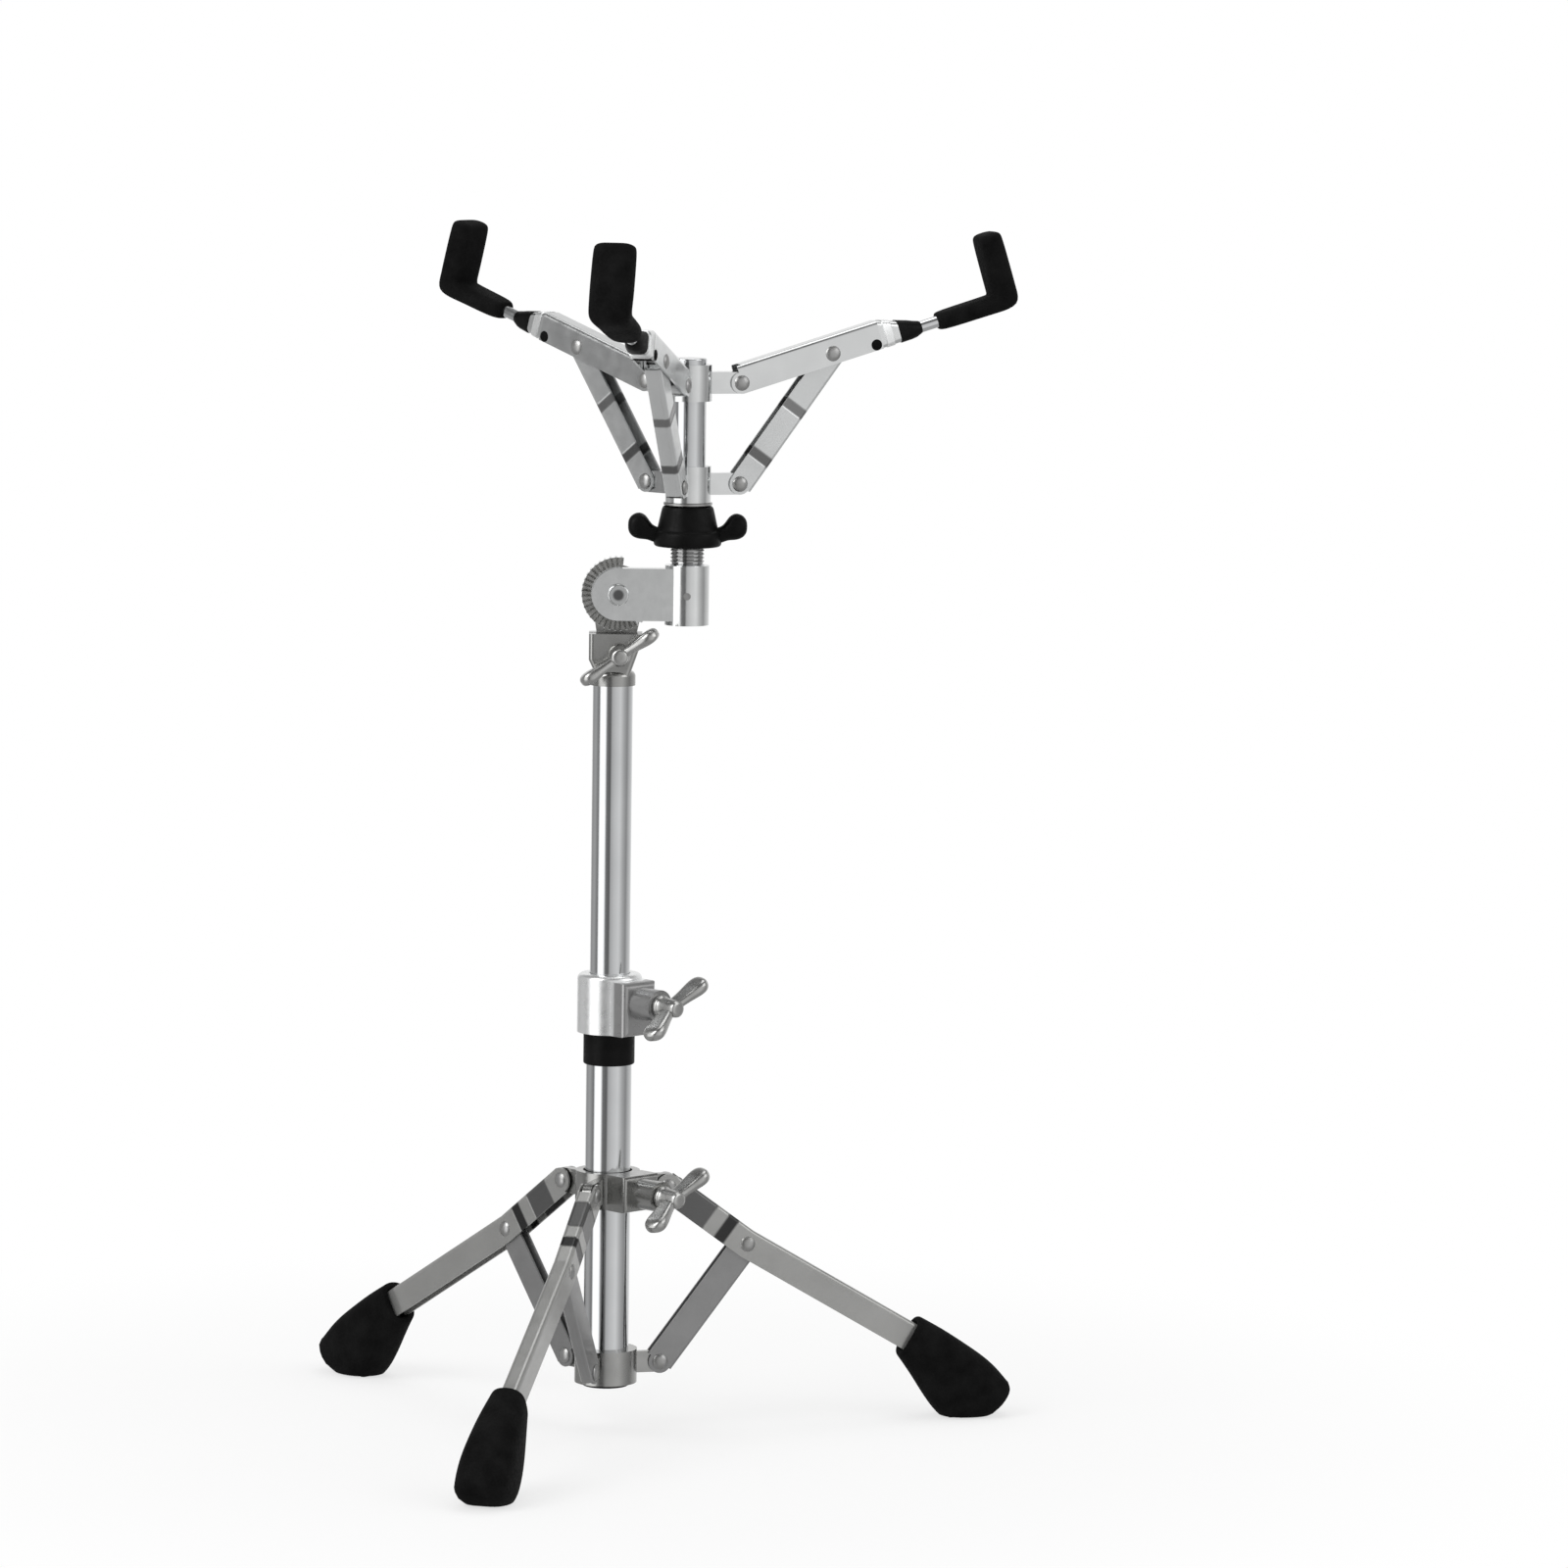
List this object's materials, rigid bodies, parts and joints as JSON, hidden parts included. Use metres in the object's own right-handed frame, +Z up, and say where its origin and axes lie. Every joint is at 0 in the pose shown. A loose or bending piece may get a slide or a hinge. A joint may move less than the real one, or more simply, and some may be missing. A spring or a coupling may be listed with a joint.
{
  "type": "snare drum stand",
  "caption": "Folding tripod stand with a height-adjustable mast, a toothed tilter and a rubber-gripped basket that holds a snare drum.",
  "frame": {"origin": "on the lower tube's axis, at the floor", "axes": "+Z up along the column, +X from the column towards the basket's axis"},
  "size_m": [0.398, 0.4054, 0.6708],
  "materials": {
    "chrome": "polished",
    "plated_casting": "plated casting",
    "plated_wing": "plated casting",
    "steel": "plain zinc plated",
    "rubber": "matte",
    "black_plastic": "satin moulded",
    "nylon": "matte",
    "brass": "machined"
  },
  "bodies": {
    "column": {"lower_tube": "chrome", "tube_end_plug": "black_plastic", "lower_collar": "plated_casting", "lower_pivot_pins": "steel", "height_clamp": "plated_casting", "clamp_liner": "nylon", "clamp_skirt": "black_plastic"},
    "clamp_wing": {"clamp_wing_bolt": "plated_wing"},
    "leg_collar": {"leg_collar": "plated_casting"},
    "collar_wing": {"collar_wing_bolt": "plated_wing"},
    "mast": {"upper_tube": "chrome", "tilter_base": "plated_casting", "tilter_pivot_bolt": "chrome", "tilter_pivot_nut": "chrome"},
    "tilter_wing": {"tilter_wing_bolt": "plated_wing"},
    "head": {"tilter_arm": "plated_casting", "sleeve_rivet": "steel", "basket_post": "chrome", "post_cap": "black_plastic", "upper_hub": "plated_casting"},
    "hub": {"lower_hub": "plated_casting", "hub_pivot_pins": "steel"},
    "washer": {"thrust_washer": "chrome"},
    "knob": {"basket_knob": "black_plastic", "knob_insert": "brass"},
    "strut_1": {"leg_strut_1": "chrome"},
    "leg_1": {"leg_1": "chrome", "leg_pins_1": "steel", "foot_1": "rubber"},
    "arm_1": {"basket_arm_1": "chrome", "arm_pins_1": "steel", "arm_rod_1": "steel", "grip_1": "rubber"},
    "basket_strut_1": {"basket_strut_1": "chrome"},
    "strut_2": {"leg_strut_2": "chrome"},
    "leg_2": {"leg_2": "chrome", "leg_pins_2": "steel", "foot_2": "rubber"},
    "arm_2": {"basket_arm_2": "chrome", "arm_pins_2": "steel", "arm_rod_2": "steel", "grip_2": "rubber"},
    "basket_strut_2": {"basket_strut_2": "chrome"},
    "strut_3": {"leg_strut_3": "chrome"},
    "leg_3": {"leg_3": "chrome", "leg_pins_3": "steel", "foot_3": "rubber"},
    "arm_3": {"basket_arm_3": "chrome", "arm_pins_3": "steel", "arm_rod_3": "steel", "grip_3": "rubber"},
    "basket_strut_3": {"basket_strut_3": "chrome"}
  },
  "joints": [
    {"name": "tripod_fold", "type": "hinge", "parent": "column", "child": "strut_1", "pos_m": [0.02972, 0.00686, 0.0375], "axis": [0.225, -0.9744, 0], "range_deg": [0, 27.35]},
    {"name": "leg_1_swing", "type": "hinge", "parent": "strut_1", "child": "leg_1", "pos_m": [0.07795, 0.018, 0.103], "axis": [0.225, -0.9744, 0], "range_deg": [-71.37, 0]},
    {"name": "strut_2_turn", "type": "hinge", "parent": "column", "child": "strut_2", "pos_m": [-0.0208, 0.02231, 0.0375], "axis": [0.7314, 0.682, 0], "range_deg": [0, 27.37]},
    {"name": "leg_2_swing", "type": "hinge", "parent": "strut_2", "child": "leg_2", "pos_m": [-0.05456, 0.05851, 0.103], "axis": [0.7314, 0.682, 0], "range_deg": [-71.37, 0]},
    {"name": "strut_3_turn", "type": "hinge", "parent": "column", "child": "strut_3", "pos_m": [-0.00892, -0.02917, 0.0375], "axis": [-0.9563, 0.2924, 0], "range_deg": [0, 27.37]},
    {"name": "leg_3_swing", "type": "hinge", "parent": "strut_3", "child": "leg_3", "pos_m": [-0.02339, -0.0765, 0.103], "axis": [-0.9563, 0.2924, 0], "range_deg": [-71.37, 0]},
    {"name": "leg_collar_level", "type": "hinge", "parent": "leg_1", "child": "leg_collar", "pos_m": [0.03313, 0.00765, 0.137], "axis": [0.225, -0.9744, 0], "range_deg": [0, 44.02]},
    {"name": "collar_wing_turn", "type": "hinge", "parent": "leg_collar", "child": "collar_wing", "pos_m": [0, 0, 0.137], "axis": [0.682, -0.7314, 0], "range_deg": [0, 360]},
    {"name": "height_slide", "type": "slide", "parent": "column", "child": "mast", "axis": [0, 0, 1], "range_m": [-0.14, 0.015]},
    {"name": "clamp_wing_turn", "type": "hinge", "parent": "column", "child": "clamp_wing", "pos_m": [0, 0, 0.2435], "axis": [0.682, -0.7314, 0], "range_deg": [0, 360]},
    {"name": "tilter_wing_turn", "type": "hinge", "parent": "mast", "child": "tilter_wing", "pos_m": [0.0035, 0, 0.4365], "axis": [0, -1, 0], "range_deg": [0, 360]},
    {"name": "basket_tilt", "type": "hinge", "parent": "mast", "child": "head", "pos_m": [0.0025, 0, 0.47], "axis": [0, -1, 0], "range_deg": [-15, 65]},
    {"name": "basket_fold", "type": "hinge", "parent": "head", "child": "arm_1", "pos_m": [0.0678, 0.00786, 0.587], "axis": [0.2756, -0.9613, 0], "range_deg": [0, 40]},
    {"name": "arm_2_swing", "type": "hinge", "parent": "head", "child": "arm_2", "pos_m": [0.0199, 0.0198, 0.587], "axis": [0.6947, 0.7193, 0], "range_deg": [0, 40.02]},
    {"name": "arm_3_swing", "type": "hinge", "parent": "head", "child": "arm_3", "pos_m": [0.03351, -0.02765, 0.587], "axis": [-0.9703, 0.2419, 0], "range_deg": [0, 40.02]},
    {"name": "hub_slide", "type": "slide", "parent": "head", "child": "hub", "axis": [0, 0, 1], "range_m": [0, 0.01956]},
    {"name": "basket_strut_1_turn", "type": "hinge", "parent": "hub", "child": "basket_strut_1", "pos_m": [0.0678, 0.00786, 0.531], "axis": [0.2756, -0.9613, 0], "range_deg": [0, 15.45]},
    {"name": "basket_strut_2_turn", "type": "hinge", "parent": "hub", "child": "basket_strut_2", "pos_m": [0.0199, 0.0198, 0.531], "axis": [0.6947, 0.7193, 0], "range_deg": [0, 15.45]},
    {"name": "basket_strut_3_turn", "type": "hinge", "parent": "hub", "child": "basket_strut_3", "pos_m": [0.03351, -0.02765, 0.531], "axis": [-0.9703, 0.2419, 0], "range_deg": [0, 15.45]},
    {"name": "washer_travel", "type": "slide", "parent": "head", "child": "washer", "axis": [0, 0, 1], "range_m": [-0.00902, 0]},
    {"name": "knob_turn", "type": "hinge", "parent": "washer", "child": "knob", "pos_m": [0.0404, 0, 0.5077], "axis": [0, 0, 1], "range_deg": [-1620, 0]}
  ],
  "couplings": [
    {"joint": "leg_1_swing", "follows": "tripod_fold", "ratio": -2.6088},
    {"joint": "strut_2_turn", "follows": "tripod_fold", "ratio": 1},
    {"joint": "leg_2_swing", "follows": "tripod_fold", "ratio": -2.6088},
    {"joint": "strut_3_turn", "follows": "tripod_fold", "ratio": 1},
    {"joint": "leg_3_swing", "follows": "tripod_fold", "ratio": -2.6088},
    {"joint": "leg_collar_level", "follows": "tripod_fold", "ratio": 1.6088},
    {"joint": "arm_2_swing", "follows": "basket_fold", "ratio": 1},
    {"joint": "arm_3_swing", "follows": "basket_fold", "ratio": 1},
    {"joint": "hub_slide", "follows": "basket_fold", "m_per_rad": 0.027987},
    {"joint": "basket_strut_1_turn", "follows": "basket_fold", "ratio": 0.3858},
    {"joint": "basket_strut_2_turn", "follows": "basket_fold", "ratio": 0.3858},
    {"joint": "basket_strut_3_turn", "follows": "basket_fold", "ratio": 0.3858},
    {"joint": "washer_travel", "follows": "knob_turn", "m_per_rad": 0.00031831}
  ]
}
